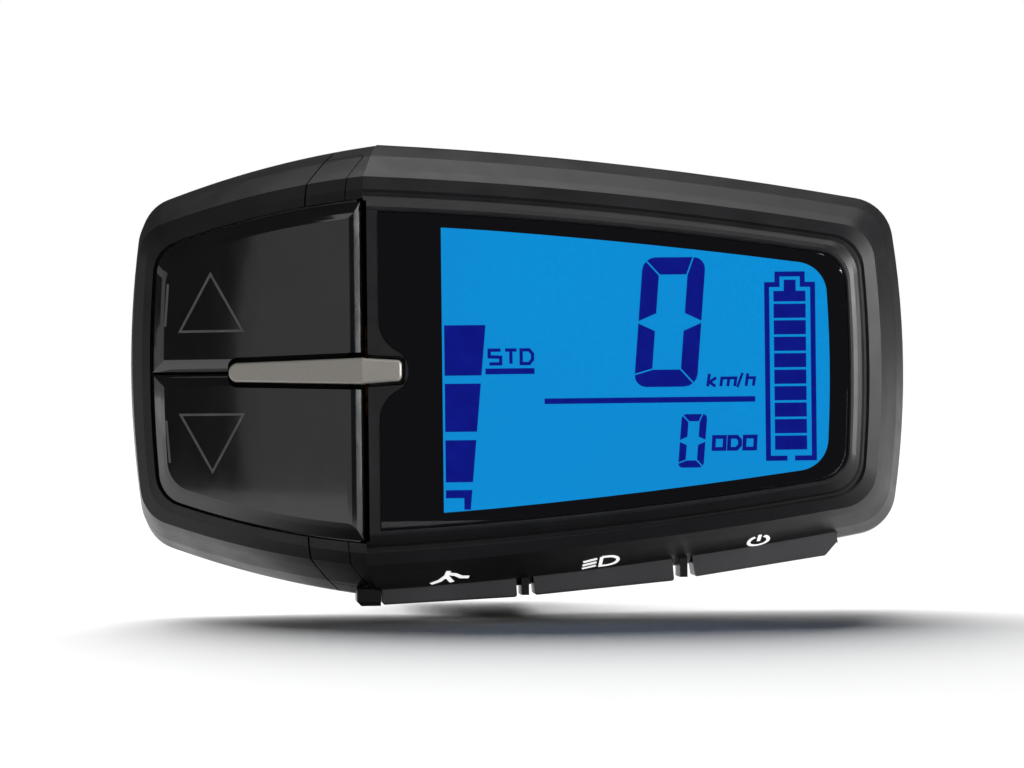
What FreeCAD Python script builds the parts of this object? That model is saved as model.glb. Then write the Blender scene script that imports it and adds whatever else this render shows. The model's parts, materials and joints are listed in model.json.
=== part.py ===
"""Handlebar display and switch unit for an electric bicycle.

A tapered LCD housing and an angled two-button thumb panel meet at a ridge. Three bar buttons
stand out of the lower wall, and a split clamp behind the housing grips the handlebar.

The part's frame: +X to the rider's right, +Z up the face, the display looks along -Y, and the
origin is the centre of the handlebar clamp's bore, whose axis is X. Housing shapes are drawn in
a ridge frame: x along the display from the ridge, y the depth behind the lens, z up. The thumb
panel is drawn in the same way with x negative and is then turned back about the ridge.
"""
import FreeCAD, Part
import math
import os
import Sketcher
from FreeCAD import Placement, Rotation, Vector

SIZES = {
    # where the ridge stands in the part's frame, and the panel's angle
    "ridge_x": -13.0, "lens_y": -36.0, "panel_angle": 27.0,
    # display outline: half height at the ridge, far corner, far edge, bow of the long edges
    "display_ridge_half": 17.5, "display_corner_x": 53.0, "display_corner_z": 12.15,
    "display_far_x": 53.45, "display_bow": 0.8,
    "panel_ridge_half": 17.5, "panel_corner_x": 24.4, "panel_corner_z": 12.85,
    "panel_far_x": 25.0, "panel_bow": 0.8,
    # how the outline grows with its offset
    "grow_corner_x": 0.84, "grow_corner_z": 0.78, "grow_bow": 0.03,
    "corner_radius": 3.6, "grow_radius": 0.18,
    # housing
    "wall": 1.6, "parting_depth": 12.5, "parting_tilt": 9.7, "housing_depth": 20.0,
    "panel_back_y": -12.3, "seam_x": 7.1, "seam_gap": 0.2, "cover_end_x": 2.35,
    "cover_depth": 6.4, "cover_inset": 0.58, "cover_radius": 1.0,
    # lens stack
    "lens_thick": 1.5, "lens_start": 1.8, "fit_gap": 0.06, "mask_thick": 0.12,
    "gasket_thick": 0.22, "window_offset": -1.45, "window_start": 5.8,
    "view_left": 8.7, "view_right": 50.95, "view_left_half": 15.6, "view_right_half": 11.05,
    "view_bow": 0.35, "view_radius": 3.5, "view_bulge": 0.45,
    "glass_front": 1.65, "glass_back": 3.2, "frame_front": 3.3, "frame_floor": 5.7,
    "board_front": 6.6, "board_thick": 1.6,
    # thumb buttons
    "thumb_offset": 1.05, "thumb_bevel": 1.85, "thumb_edge": 0.9, "thumb_near": 0.42,
    "thumb_split": 0.15, "split_share": 0.72,
    "thumb_plate": 1.45, "flange_front": 1.8, "flange_back": 2.45, "flange_out": 0.8,
    "press_x": -12.5, "press_z": 8.5, "post_radius": 1.7, "post_end": 3.3,
    "dome_radius": 2.1, "dome_end": 4.3, "actuator_radius": 1.0, "actuator_end": 6.0,
    "keypad_front": 3.65, "carrier_front": 4.4, "carrier_thick": 0.8, "pass_radius": 2.8,
    "tact_front": 5.4, "tact_side": 5.2, "switch_board_front": 7.0, "switch_board_thick": 1.2,
    "bore_gap": 0.15, "bore_end": 6.75,
    # divider bar
    "bar_proud": 0.45, "bar_deep": 1.45, "bar_left": 16.1, "bar_left_half": 1.05,
    "bar_ridge_half": 1.47, "bar_right": 4.2, "bar_right_half": 1.17, "bar_gap": 0.4,
    "key_gap": 0.6, "ridge_gap": 0.55,
    "blade_half": 0.6, "blade_left": 14.5, "blade_right": 4.6,
    # bar buttons of the lower wall: place along the ridge frame's x, length, slope, height
    "edge_depth": 9.0, "edge_half_depth": 2.05, "edge_gap": 0.15, "slot_end": 3.2, "tab_out": 0.55,
    "walk_x": 9.65, "walk_length": 14.9, "walk_slope": 2.5, "walk_proud": 0.85,
    "light_x": 26.8, "light_length": 15.6, "light_slope": 5.0, "light_proud": 1.25,
    "power_x": 44.95, "power_length": 16.4, "power_slope": 8.3, "power_proud": 1.4,
    # clamp and its fasteners
    "bar_radius": 11.1, "liner_radius": 12.3, "clamp_length": 16.0, "clamp_radius": 15.3,
    "ear_z": 17.6, "ear_end": 21.4, "ear_thick": 6.0, "split_half": 0.6,
    "clamp_bolt_radius": 2.0, "clamp_hole_radius": 2.2, "nut_flats": 7.0, "nut_thick": 3.2,
    "bracket_screw_x": 4.5, "bracket_hole_radius": 1.7, "bracket_head_radius": 2.9,
    # case screws, drawn by place in the ridge frame
    "case_screw_radius": 1.2, "case_head_radius": 2.2, "case_head_thick": 1.4,
    "boss_radius": 2.2, "board_screw_radius": 0.8, "board_post_radius": 1.4,
    # cable inlet
    "inlet_x": 36.0, "inlet_z": -13.0, "inlet_bore": 2.3, "inlet_neck": 3.2,
    "inlet_flange": 4.6, "inlet_inner": 4.2,
}

doc = FreeCAD.newDocument("instrument_cluster")
sheet = doc.addObject("Spreadsheet::Sheet", "Sizes")
for row, (alias, number) in enumerate(SIZES.items(), start=1):
    sheet.set(f"A{row}", alias)
    sheet.set(f"B{row}", str(number))
    sheet.setAlias(f"B{row}", alias)
doc.recompute()

nodes = []


def size(alias):
    """A driving dimension, as the sheet holds it."""
    return float(getattr(sheet, alias))


def worth(expression):
    """The number that an expression on the sheet comes to."""
    result = sheet.evalExpression(expression)
    return float(getattr(result, "Value", result))


RIDGE = Placement(Vector(size("ridge_x"), size("lens_y"), 0), Rotation())
TURN = Rotation(Vector(0, 0, 1), -size("panel_angle"))
PANEL = Placement(RIDGE.Base, TURN)
HALF_TURN = math.radians(size("panel_angle") / 2)
FAR = 200.0


# ---- outlines and lofts ----------------------------------------------------------------------

def arc(start, middle, end):
    return Part.Arc(start, middle, end).toShape()


def line(start, end):
    return Part.LineSegment(start, end).toShape()


def mirrored(point):
    return Vector(point.x, point.y, -point.z)


def rounded(first, second, corner, radius, side=1):
    """Two edges that meet at a corner, cut back, with a round between them."""
    tool = Part.ChFi2d.FilletAPI(first, second, Part.Plane(corner, Vector(0, side, 0)))
    tool.perform(radius)
    between, before, after = tool.result(corner)
    return [before, between, after]


class Face:
    """One face of the housing: a tapered outline that grows evenly with its offset."""

    def __init__(self, name, side):
        self.side = side
        self.ridge_half = size(name + "_ridge_half")
        self.corner_x = size(name + "_corner_x")
        self.corner_z = size(name + "_corner_z")
        self.far_x = size(name + "_far_x")
        self.bow = size(name + "_bow")

    def corner(self, offset, depth):
        x = self.corner_x + size("grow_corner_x") * offset
        z = self.corner_z + size("grow_corner_z") * offset
        return Vector(self.side * x, depth, z)

    def long_curve(self, offset, depth):
        """The upper long edge, from the ridge line to the far corner."""
        start = Vector(0, depth, self.ridge_half + offset)
        corner = self.corner(offset, depth)
        middle = (start + corner) / 2
        middle.z += self.bow + size("grow_bow") * offset
        return start, middle, corner

    def radius(self, offset):
        return size("corner_radius") + size("grow_radius") * offset

    def edge_z(self, x, offset):
        """Height of the long edge at a distance x from the ridge."""
        curve = Part.ArcOfCircle(*self.long_curve(offset, 0))
        across = self.side * x - curve.Center.x
        return curve.Center.z + math.sqrt(curve.Radius ** 2 - across ** 2)

    def end_x(self, z, offset):
        """Distance from the ridge of the far edge at a height z."""
        corner = self.corner(offset, 0)
        far = Vector(self.side * (self.far_x + offset), 0, 0)
        curve = Part.ArcOfCircle(corner, far, mirrored(corner))
        reach = math.sqrt(curve.Radius ** 2 - (z - curve.Center.z) ** 2)
        return self.side * (curve.Center.x + self.side * reach)

    def wire(self, offset, depth, start=0.0):
        """The whole outline at one depth, closed by a straight edge at x = start."""
        corner = self.corner(offset, depth)
        first = Vector(self.side * start, depth, self.edge_z(start, offset))
        half_way = (start + abs(corner.x)) / 2
        middle = Vector(self.side * half_way, depth, self.edge_z(half_way, offset))
        far = Vector(self.side * (self.far_x + offset), depth, 0)
        top = arc(first, middle, corner)
        end = arc(corner, far, mirrored(corner))
        low = arc(mirrored(corner), mirrored(middle), mirrored(first))
        radius = self.radius(offset)
        top, upper_round, end = rounded(top, end, corner, radius, self.side)
        end, lower_round, low = rounded(end, low, mirrored(corner), radius, self.side)
        return Part.Wire([top, upper_round, end, lower_round, low, line(mirrored(first), first)])

    def loft(self, levels, start=0.0):
        """A closed solid through outlines given as (depth, offset) pairs."""
        wires = [self.wire(offset, depth, start) for depth, offset in levels]
        return Part.makeLoft(wires, True, True)

    def slab(self, offset, front, back, start=0.0):
        face = Part.Face(self.wire(offset, front, start))
        return face.extrude(Vector(0, back - front, 0))


display = Face("display", 1)
panel = Face("panel", -1)


def block(x0, x1, y0, y1, z0, z1):
    return Part.makeBox(x1 - x0, y1 - y0, z1 - z0, Vector(x0, y0, z0))


def rod(radius, start, end):
    axis = Vector(*end) - Vector(*start)
    return Part.makeCylinder(radius, axis.Length, Vector(*start), axis)


def beyond_ridge(side, gap=0.0):
    """All space on one side of the plane that halves the angle at the ridge."""
    if side > 0:
        space = block(gap, FAR, -FAR, FAR, -FAR, FAR)
    else:
        space = block(-FAR, -gap, -FAR, FAR, -FAR, FAR)
    space.rotate(Vector(), Vector(0, 0, 1), -side * math.degrees(HALF_TURN))
    return space


def turned(shape):
    """A thumb panel shape, turned into the ridge frame."""
    copy = shape.copy()
    copy.rotate(Vector(), Vector(0, 0, 1), -size("panel_angle"))
    return copy


def front_of_parting():
    """Panel frame: all space in front of the tilted parting plane of the two shells."""
    space = block(-FAR, FAR, -FAR, 0, -FAR, FAR)
    space.rotate(Vector(), Vector(0, 0, 1), size("parting_tilt"))
    depth = size("parting_depth")
    space.translate(Vector(-depth * math.tan(HALF_TURN), depth, 0))
    return space


def one_solid(shape):
    """The shape as a clean single solid."""
    tidy = shape.removeSplitter()
    return tidy.Solids[0] if len(tidy.Solids) == 1 else tidy


def add_shape(label, shape, placement=RIDGE):
    item = doc.addObject("Part::Feature", label)
    item.Shape = one_solid(shape)
    item.Placement = placement
    nodes.append(item)
    return item


# ---- sketched bodies -------------------------------------------------------------------------

def body_plane(body, role):
    return next(plane for plane in body.Origin.OriginFeatures if plane.Role == role)


def sketch_at(body, name, role, offset):
    sketch = body.newObject("Sketcher::SketchObject", name)
    sketch.AttachmentSupport = (body_plane(body, role), [""])
    sketch.MapMode = "FlatFace"
    sketch.setExpression("AttachmentOffset.Base.z", offset)
    return sketch


def tie(sketch, constraint, expression):
    index = sketch.addConstraint(constraint)
    sketch.setExpression(f"Constraints[{index}]", expression)


def tie_point(sketch, geometry, point, x, y):
    """Hold a sketch point at coordinates given as expressions on the sheet."""
    pairs = (("DistanceX", x), ("DistanceY", y))
    for kind, expression in pairs:
        rule = Sketcher.Constraint(kind, -1, 1, geometry, point, worth(expression))
        tie(sketch, rule, expression)


def draw_polygon(sketch, corners):
    points = [Vector(worth(x), worth(y), 0) for x, y in corners]
    first = sketch.GeometryCount
    count = len(points)
    for index in range(count):
        segment = Part.LineSegment(points[index], points[(index + 1) % count])
        sketch.addGeometry(segment, False)
    for index in range(count):
        following = first + (index + 1) % count
        sketch.addConstraint(Sketcher.Constraint("Coincident", first + index, 2, following, 1))
    for index, (x, y) in enumerate(corners):
        tie_point(sketch, first + index, 1, x, y)


def draw_circle(sketch, x, y, radius):
    centre = Vector(worth(x), worth(y), 0)
    circle = Part.Circle(centre, Vector(0, 0, 1), worth(radius))
    geometry = sketch.addGeometry(circle, False)
    tie_point(sketch, geometry, 3, x, y)
    tie(sketch, Sketcher.Constraint("Radius", geometry, worth(radius)), radius)


def box_corners(x0, x1, y0, y1):
    return [(x0, y0), (x1, y0), (x1, y1), (x0, y1)]


def new_body(label, placement):
    body = doc.addObject("PartDesign::Body", label)
    body.Placement = placement
    nodes.append(body)
    return body


def pad(body, sketch, length, back=True):
    feature = body.newObject("PartDesign::Pad", sketch.Name + "_pad")
    feature.Profile = sketch
    feature.setExpression("Length", length)
    feature.Reversed = back
    sketch.Visibility = False
    return feature


def pocket(body, sketch, length, along_normal=False):
    """Cut a sketch into its body, and check that something was cut."""
    doc.recompute()
    before = body.Shape.Volume
    feature = body.newObject("PartDesign::Pocket", sketch.Name + "_pocket")
    feature.Profile = sketch
    feature.setExpression("Length", length)
    feature.Reversed = along_normal
    doc.recompute()
    if not body.Shape.Volume < before:
        raise RuntimeError(f"{sketch.Name} cuts nothing")
    return feature


def plate(label, corners, front, thick, placement, circles=(), windows=()):
    """A flat piece facing -y: a polygon with round and polygonal holes, padded backwards."""
    body = new_body(label, placement)
    sketch = sketch_at(body, label + "_outline", "XZ_Plane", f"-({front})")
    draw_polygon(sketch, corners)
    for x, z, radius in circles:
        draw_circle(sketch, x, z, radius)
    for window in windows:
        draw_polygon(sketch, window)
    pad(body, sketch, thick)
    return body


def turning(label, profile, placement):
    """A turned piece: a closed (radius, length) profile revolved about its own z axis."""
    body = new_body(label, placement)
    sketch = sketch_at(body, label + "_profile", "XZ_Plane", "0")
    draw_polygon(sketch, profile)
    feature = body.newObject("PartDesign::Revolution", label + "_turn")
    feature.Profile = sketch
    feature.ReferenceAxis = (sketch, ["V_Axis"])
    feature.Angle = 360
    return body


# ---- housing shells --------------------------------------------------------------------------

# Outlines as (depth, offset) pairs. A bead runs round the lens, then a valley and a narrow
# front band that ends at a crease; the wall behind it flares, stands straight and rounds off.
WALL = [(1.3, 3.75), (2.75, 4.6), (5.8, 6.3), (8.6, 7.55), (9.6, 7.75), (12.5, 7.75),
        (14.6, 7.55), (16.6, 6.95), (18.4, 5.8), (19.5, 4.5), (20.0, 2.9)]
DISPLAY_FRONT = [(0.12, 0.02), (0.0, 0.16), (0.06, 0.45), (0.3, 0.95), (0.65, 1.45),
                 (1.05, 1.8), (1.1, 2.05), (0.85, 2.35)]
PANEL_FRONT = [(0.7, 1.2), (0.85, 2.35)]
HOLLOW = [(3.3, 2.4), (5.8, 4.6), (8.6, 5.95), (9.6, 6.15), (12.5, 6.15), (14.6, 5.9),
          (16.6, 5.0), (18.4, 3.0)]

display_solid = display.loft(DISPLAY_FRONT + WALL).common(beyond_ridge(1))
panel_solid = turned(panel.loft(PANEL_FRONT + WALL).common(beyond_ridge(-1)))
panel_back = size("panel_back_y") - size("lens_y")
panel_solid = panel_solid.common(block(-FAR, FAR, -FAR, panel_back, -FAR, FAR))
housing = display_solid.fuse(panel_solid)

display_hollow = display.loft(HOLLOW).common(beyond_ridge(1))
panel_hollow = turned(panel.loft(HOLLOW).common(beyond_ridge(-1)))
panel_hollow = panel_hollow.common(block(-FAR, FAR, -FAR, panel_back - size("wall"), -FAR, FAR))
hollow = display_hollow.fuse(panel_hollow)

front_space = beyond_ridge(1).common(block(-FAR, FAR, -FAR, size("parting_depth"), -FAR, FAR))
front_space = front_space.fuse(turned(front_of_parting().common(beyond_ridge(-1))))


def bar_left_wire(depth, grow):
    """The divider bar's outline on the thumb panel, run a little past the ridge."""
    overlap = 1.0
    half = size("bar_left_half") + grow
    tip = Vector(-size("bar_left") - grow, depth, 0)
    shoulder = Vector(-size("bar_left") + 0.9, depth, half)
    root = Vector(overlap, depth, size("bar_ridge_half") + grow)
    return Part.Wire([arc(mirrored(shoulder), tip, shoulder), line(shoulder, root),
                      line(root, mirrored(root)), line(mirrored(root), mirrored(shoulder))])


def bar_right_wire(depth, grow):
    """The divider bar's outline on the display, run a little past the ridge."""
    overlap = 1.0
    half = size("bar_right_half") + grow
    end_x = size("bar_right") + grow
    root = Vector(-overlap, depth, size("bar_ridge_half") + grow)
    bend = Vector(end_x - 0.6, depth, half)
    middle = Vector(end_x - 0.15, depth, half - 0.18)
    end = Vector(end_x, depth, half - 0.62)
    return Part.Wire([line(root, bend), arc(bend, middle, end), line(end, mirrored(end)),
                      arc(mirrored(end), mirrored(middle), mirrored(bend)),
                      line(mirrored(bend), mirrored(root)), line(mirrored(root), root)])


def bar_outline(levels):
    """The divider bar over both faces, through outlines given as (depth, growth) pairs."""
    left = Part.makeLoft([bar_left_wire(*level) for level in levels], True, True)
    right = Part.makeLoft([bar_right_wire(*level) for level in levels], True, True)
    left = turned(left.common(beyond_ridge(-1)))
    return left.fuse(right.common(beyond_ridge(1))).removeSplitter()


def lens_notch(grow, front, back):
    """The place at the lens's ridge edge that the divider bar's end takes up."""
    foot = Vector(0, front, 5.4 + grow)
    start = Vector(1.75 + grow, front, 5.4 + grow)
    waist = Vector(2.3 + grow, front, 3.5 + grow)
    shoulder = Vector(3.7 + grow, front, 2.15 + grow)
    tip = Vector(5.0 + grow, front, 0)
    edges = [line(foot, start), arc(start, waist, shoulder),
             arc(shoulder, tip, mirrored(shoulder)),
             arc(mirrored(shoulder), mirrored(waist), mirrored(start)),
             line(mirrored(start), mirrored(foot)), line(mirrored(foot), foot)]
    return Part.Face(Part.Wire(edges)).extrude(Vector(0, back - front, 0))


EDGE_BUTTONS = ("walk", "light", "power")
WALL_OFFSET = 7.75

# Ribs between the lower buttons (place, height) and the end block at their left.
EDGE_RIBS = ((18.05, 1.0), (35.75, 1.25))
RIB_HALF = 0.42
FOOT_END = 2.05
FOOT_LOW = -25.95


def edge_place(name):
    """Ridge frame place of a lower button: on the wall, x along it and z into the housing."""
    x = size(name + "_x")
    z = -display.edge_z(x, WALL_OFFSET)
    slope = Rotation(Vector(0, 1, 0), -size(name + "_slope"))
    return Placement(Vector(x, size("edge_depth"), z), slope)


def at_edge(name, shape):
    copy = shape.copy()
    copy.transformShape(edge_place(name).toMatrix())
    return copy


# Case screws: place in the ridge frame, seat depth and end of the thread.
CASE_SCREWS = [(18.05, 18.9, 14.0, 7.5), (18.05, -18.6, 14.0, 7.5), (51.5, 14.8, 14.0, 7.5),
               (51.5, -14.8, 14.0, 7.5), (-19.5, 16.2, 21.0, 15.0), (-19.5, -16.2, 21.0, 15.0)]
BOARD_SCREWS = [(3.9, 10.0), (3.9, -10.0), (54.6, 0.0)]
REAR_POSTS = [(16.0, 8.0), (16.0, -8.0), (50.0, 0.0)]
PANEL_POSTS = [(-13.0, 3.0), (-13.0, -3.0), (-20.0, 9.0), (-20.0, -9.0)]


def seam_cover(gap):
    """Panel frame: the two flush covers of the housing joint, grown by a gap."""
    far = -size("seam_x") + size("seam_gap") / 2 - gap
    near = -size("cover_end_x") + gap
    depth = size("cover_depth") + gap
    space = block(far, near, -1, depth, -FAR, FAR)
    corner = [edge for edge in space.Edges
              if abs(edge.CenterOfMass.x - near) < 0.01 and abs(edge.CenterOfMass.y - depth) < 0.01
              and edge.Length > 1.0]
    space = space.makeFillet(size("cover_radius") + gap, corner)
    skin = panel.loft(PANEL_FRONT + WALL)
    inset = size("cover_inset") + gap
    inner = [(level + inset, offset - inset) for level, offset in PANEL_FRONT + WALL]
    return skin.cut(panel.loft(inner)).common(space)


def thumb_opening():
    """Panel frame: the opening for the two thumb buttons and the wider well behind it."""
    opening = panel.slab(1.3, -2.0, 1.68)
    well = panel.slab(2.3, 1.65, 3.4)
    return opening.fuse(well)


def front_shells():
    shell = housing.cut(hollow).common(front_space)
    for x, z, _, _ in CASE_SCREWS:
        start = 2.5 if x > 0 else 12.0
        boss = rod(size("boss_radius"), (x, start, z), (x, 25.0, z))
        shell = shell.fuse(boss.common(housing).common(front_space))
    for x, z in BOARD_SCREWS:
        shell = shell.fuse(rod(size("board_post_radius"), (x, 3.0, z), (x, size("board_front"), z)))
    shell = shell.cut(turned(thumb_opening()))
    # panel ledges that the switch carrier rests against
    for x in (-6.0, -18.0):
        for side in (1, -1):
            z = side * panel.edge_z(-x, 3.2)
            ledge = block(x - 1, x + 1, 3.3, size("carrier_front"), z - 1.3, z + 1.3)
            shell = shell.fuse(turned(ledge).common(housing))
    # the lens seat, the window and the shadow gap along the ridge
    shell = shell.cut(display.slab(0.0, -1.0, 1.85, 1.75).cut(lens_notch(0.0, -2.0, 3.0)))
    shell = shell.cut(display.slab(size("window_offset"), 1.0, 4.0, size("window_start")))
    gap_half = panel.ridge_half + size("thumb_offset")
    shell = shell.cut(block(-1.5, size("ridge_gap"), -1.0, 2.6, -gap_half, gap_half))
    shell = shell.cut(bar_outline([(-1.5, size("bar_gap")), (1.6, size("bar_gap"))]))
    # slots, ribs and end blocks of the lower buttons
    depth = size("edge_depth")
    deep = size("edge_half_depth")
    for x, drop in EDGE_RIBS:
        z = -display.edge_z(x, WALL_OFFSET)
        rib = block(x - RIB_HALF, x + RIB_HALF, depth - deep, depth + deep, z - drop, z + 1.2)
        shell = shell.fuse(rib)
    foot = block(-0.6, FOOT_END, depth - deep, depth + deep, FOOT_LOW, -24.0)
    corner = [edge for edge in foot.Edges
              if edge.CenterOfMass.z < FOOT_LOW + 0.01 and edge.CenterOfMass.x < FOOT_END - 0.01]
    shell = shell.fuse(foot.makeChamfer(0.5, corner))
    gap = size("edge_gap")
    for name in EDGE_BUTTONS:
        half = size(name + "_length") / 2
        slot_end = size("slot_end")
        slot = block(-half - gap, half + gap, -deep - gap, deep + gap, -4.0, slot_end)
        tab_room = half + size("tab_out") + 0.2
        recess = block(-tab_room, tab_room, -0.8, 2.1, 1.6, slot_end)
        shell = shell.cut(at_edge(name, slot.fuse(recess)))
    for x, z, _, end in CASE_SCREWS:
        shell = shell.cut(rod(size("case_screw_radius"), (x, end, z), (x, 25.0, z)))
    for x, z in BOARD_SCREWS:
        shell = shell.cut(rod(size("board_screw_radius"), (x, 3.9, z), (x, 7.0, z)))
    return shell.cut(turned(seam_cover(0.12)))


def split_at_seam(shell):
    """The front shells part at the seam: the display bezel and the switch bezel."""
    half_gap = size("seam_gap") / 2
    left = turned(block(-FAR, -size("seam_x") - half_gap, -FAR, FAR, -FAR, FAR))
    right = turned(block(-size("seam_x") + half_gap, FAR, -FAR, FAR, -FAR, FAR))
    return shell.common(right), shell.common(left)


def rear_case():
    case = housing.cut(hollow).cut(front_space)
    back = housing.cut(front_space)
    for x, z, _, _ in CASE_SCREWS:
        boss = rod(size("boss_radius") + 0.5, (x, 8.0, z), (x, 25.0, z))
        case = case.fuse(boss.common(back))
    for x, z in REAR_POSTS:
        start = size("board_front") + size("board_thick")
        case = case.fuse(rod(1.4, (x, start, z), (x, 19.0, z)))
    for x, z in PANEL_POSTS:
        start = size("switch_board_front") + size("switch_board_thick")
        post = turned(rod(1.2, (x, start, z), (x, 40.0, z)))
        case = case.fuse(post.common(block(-FAR, FAR, 0, panel_back - 0.5, -FAR, FAR)))
    for x, z, seat, _ in CASE_SCREWS:
        case = case.cut(rod(size("case_screw_radius") + 0.15, (x, 5.0, z), (x, 25.0, z)))
        case = case.cut(rod(size("case_head_radius") + 0.2, (x, seat, z), (x, 30.0, z)))
    inlet = (size("inlet_x"), size("inlet_z"))
    case = case.cut(rod(size("inlet_neck"), (inlet[0], 15.0, inlet[1]), (inlet[0], 25.0, inlet[1])))
    for side in (1, -1):
        x = side * size("bracket_screw_x") - size("ridge_x")
        case = case.fuse(rod(2.6, (x, 14.5, 0), (x, 19.0, 0)))
        case = case.cut(rod(1.5, (x, 15.2, 0), (x, 22.0, 0)))
    return case


bezel_shape, switch_bezel_shape = split_at_seam(front_shells())
add_shape("display_bezel", bezel_shape)
add_shape("switch_bezel", switch_bezel_shape)
add_shape("rear_case", rear_case())
covers = turned(seam_cover(0.0).cut(thumb_opening())).Solids
for label, side in (("upper_seam_cover", 1), ("lower_seam_cover", -1)):
    add_shape(label, next(cover for cover in covers if cover.CenterOfMass.z * side > 0))


# ---- lens stack ------------------------------------------------------------------------------

def view_outline(grow, front, back):
    """The visible window of the LCD: a tapered shape with rounded far corners."""
    left = size("view_left") - grow
    right = size("view_right") + grow
    left_half = size("view_left_half") + grow
    right_half = size("view_right_half") + grow
    first = Vector(left, front, left_half)
    corner = Vector(right, front, right_half)
    middle = (first + corner) / 2 + Vector(0, 0, size("view_bow"))
    top = arc(first, middle, corner)
    bulge = Vector(right + size("view_bulge"), front, 0)
    end = arc(corner, bulge, mirrored(corner))
    low = arc(mirrored(corner), mirrored(middle), mirrored(first))
    top, upper_round, end = rounded(top, end, corner, size("view_radius"))
    end, lower_round, low = rounded(end, low, mirrored(corner), size("view_radius"))
    edges = [top, upper_round, end, lower_round, low, line(mirrored(first), first)]
    return Part.Face(Part.Wire(edges)).extrude(Vector(0, back - front, 0))


def lens_stack():
    fit = -size("fit_gap")
    start = size("lens_start")
    thick = size("lens_thick")
    notch = lens_notch(size("fit_gap"), -1.0, 4.0)
    lens = display.loft([(0.02, fit - 0.28), (0.22, fit), (thick, fit)], start)
    add_shape("display_lens", lens.cut(notch))
    mask_back = thick + size("mask_thick")
    mask = display.slab(fit, thick, mask_back, start).cut(notch)
    add_shape("lens_mask", mask.cut(view_outline(0.0, 0.0, 4.0)))
    gasket = display.slab(fit, mask_back, mask_back + size("gasket_thick"), start).cut(notch)
    gasket = gasket.cut(display.slab(-1.3, 0.0, 4.0, size("window_start") + 0.1))
    add_shape("lens_gasket", gasket)
    glass = display.slab(-1.55, size("glass_front"), size("glass_back"), 5.95)
    add_shape("lcd_glass", glass)
    add_shape("light_guide", display.slab(-1.9, size("frame_front"), size("frame_floor"), 8.9))
    tray = display.slab(-0.55, size("frame_front"), size("board_front"), 5.6)
    tray = tray.cut(display.slab(-1.75, 3.0, size("frame_floor"), 8.8))
    tray = tray.cut(block(7.0, 8.6, 3.0, 7.0, -13.1, 13.1))
    add_shape("lcd_tray", tray)


lens_stack()

plate("zebra_strip", box_corners("7.1", "8.5", "-13", "13"), "Sizes.glass_back",
      "Sizes.board_front - Sizes.glass_back", RIDGE)


# ---- thumb panel -----------------------------------------------------------------------------

def thumb_wire(inset, near_x, depth, side):
    """Outline of one thumb button, moved in by an inset, with its ridge edge at near_x."""
    offset = size("thumb_offset") - inset
    split = size("thumb_split") + size("split_share") * max(inset, 0)
    near_low = Vector(-near_x, depth, split)
    near_high = Vector(-near_x, depth, panel.edge_z(near_x, offset))
    corner = panel.corner(offset, depth)
    half_way = (near_x - corner.x) / 2
    middle = Vector(-half_way, depth, panel.edge_z(half_way, offset))
    end = Vector(-panel.end_x(split, offset), depth, split)
    mid_z = (corner.z + split) / 2
    side_middle = Vector(-panel.end_x(mid_z, offset), depth, mid_z)
    top = arc(near_high, middle, corner)
    far = arc(corner, side_middle, end)
    top, between, far = rounded(top, far, corner, panel.radius(offset), panel.side)
    wire = Part.Wire([line(near_low, near_high), top, between, far, line(end, near_low)])
    return wire if side > 0 else wire.mirror(Vector(), Vector(0, 0, 1))


def thumb_loft(levels, side):
    return Part.makeLoft([thumb_wire(*level, side) for level in levels], True, True)


def thumb_button(name, side):
    edge = size("thumb_edge")
    bevel = size("thumb_bevel")
    near = size("thumb_near")
    # (inset, ridge edge, depth): face, bevel with a round at the ridge, side wall
    skin = [(bevel, near + 1.6, 0.0), (bevel - 0.15, near + 1.1, 0.06),
            (bevel - 0.6, near + 0.6, 0.25), (0.0, near, edge), (0.0, near + 0.1, edge + 0.15),
            (0.0, near + 0.75, edge + 1.1)]
    button = thumb_loft(skin, side)
    flange_front = size("flange_front")
    flange_back = size("flange_back")
    flange = [(-size("flange_out"), 1.35, flange_front), (-size("flange_out"), 1.35, flange_back)]
    button = button.fuse(thumb_loft(flange, side))
    button = button.cut(thumb_loft([(1.3, 2.4, size("thumb_plate")), (1.3, 2.4, 3.0)], side))
    x = size("press_x")
    z = side * size("press_z")
    button = button.fuse(rod(size("post_radius"), (x, 1.2, z), (x, size("post_end"), z)))
    for span, half in ((5.5, 0.5), (0.5, 4.5)):
        rib = block(x - span, x + span, 1.2, flange_back, z - half, z + half)
        button = button.fuse(rib)
    slot = bar_outline([(-2.0, size("key_gap")), (4.0, size("key_gap"))])
    slot.rotate(Vector(), Vector(0, 0, 1), size("panel_angle"))
    add_shape(name, button.cut(slot), PANEL)


for label, side in (("up_button", 1), ("down_button", -1)):
    thumb_button(label, side)


def divider_bar():
    proud = size("bar_proud")
    bar = bar_outline([(-proud, -0.24), (-proud + 0.07, -0.08), (-proud + 0.22, 0.0),
                       (size("bar_deep"), 0.0)])
    blade = block(-size("blade_left"), -size("blade_right"), 0.8, size("carrier_front"),
                  -size("blade_half"), size("blade_half"))
    add_shape("divider_bar", bar.fuse(turned(blade)))


divider_bar()

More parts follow.
